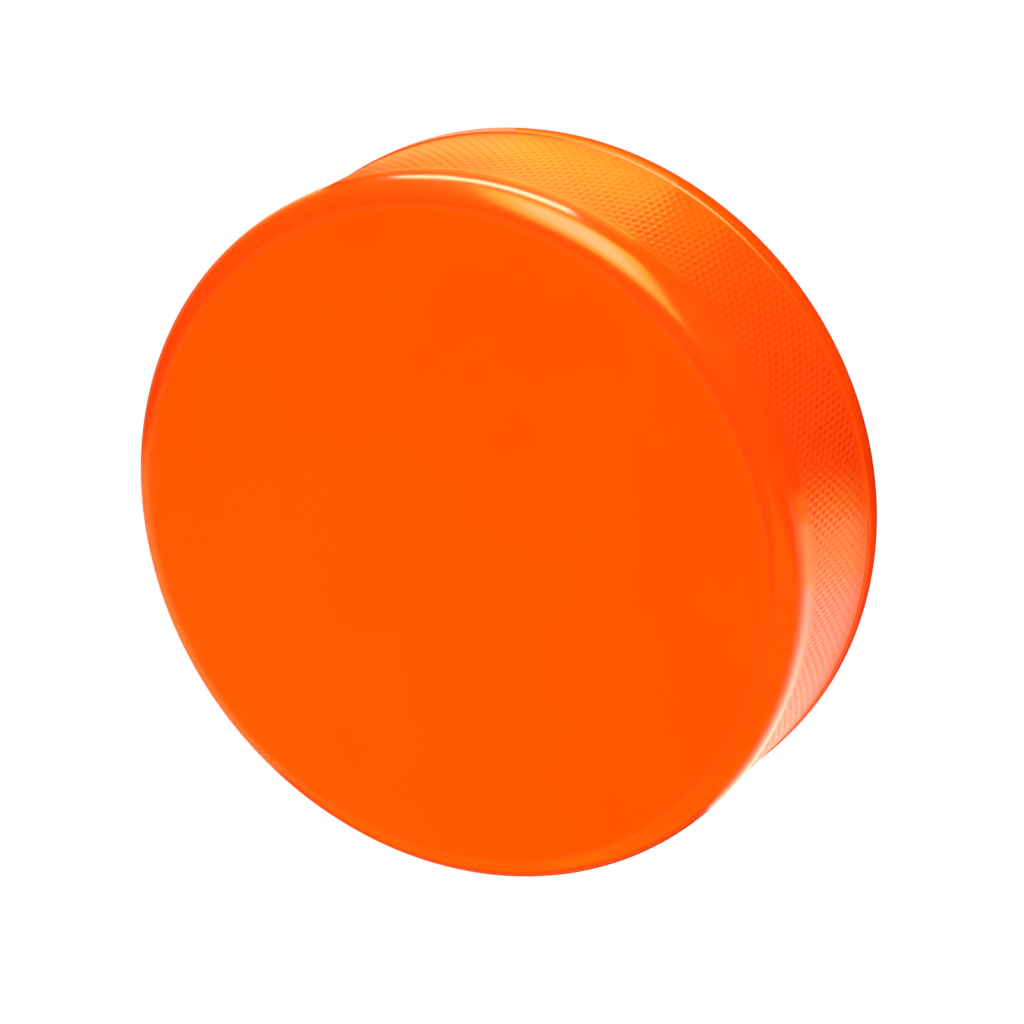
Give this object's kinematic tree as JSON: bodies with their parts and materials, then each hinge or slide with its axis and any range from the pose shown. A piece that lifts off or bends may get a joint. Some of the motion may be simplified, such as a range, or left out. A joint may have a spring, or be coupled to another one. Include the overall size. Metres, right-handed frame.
{
  "type": "ice hockey puck",
  "caption": "Solid one-piece rubber ice hockey puck, with flat faces, rounded edges and a fine diamond-patterned gripping band round its side.",
  "frame": {"origin": "centre of the flat face that the puck lies on", "axes": "+Z along the puck's axis, up from the face it lies on to the other face; the puck is round, so X and Y are any two square directions"},
  "size_m": [0.0762, 0.0762, 0.0254],
  "materials": {
    "rubber": "gloss"
  },
  "bodies": {
    "root": {"puck_body": "rubber"}
  },
  "joints": []
}
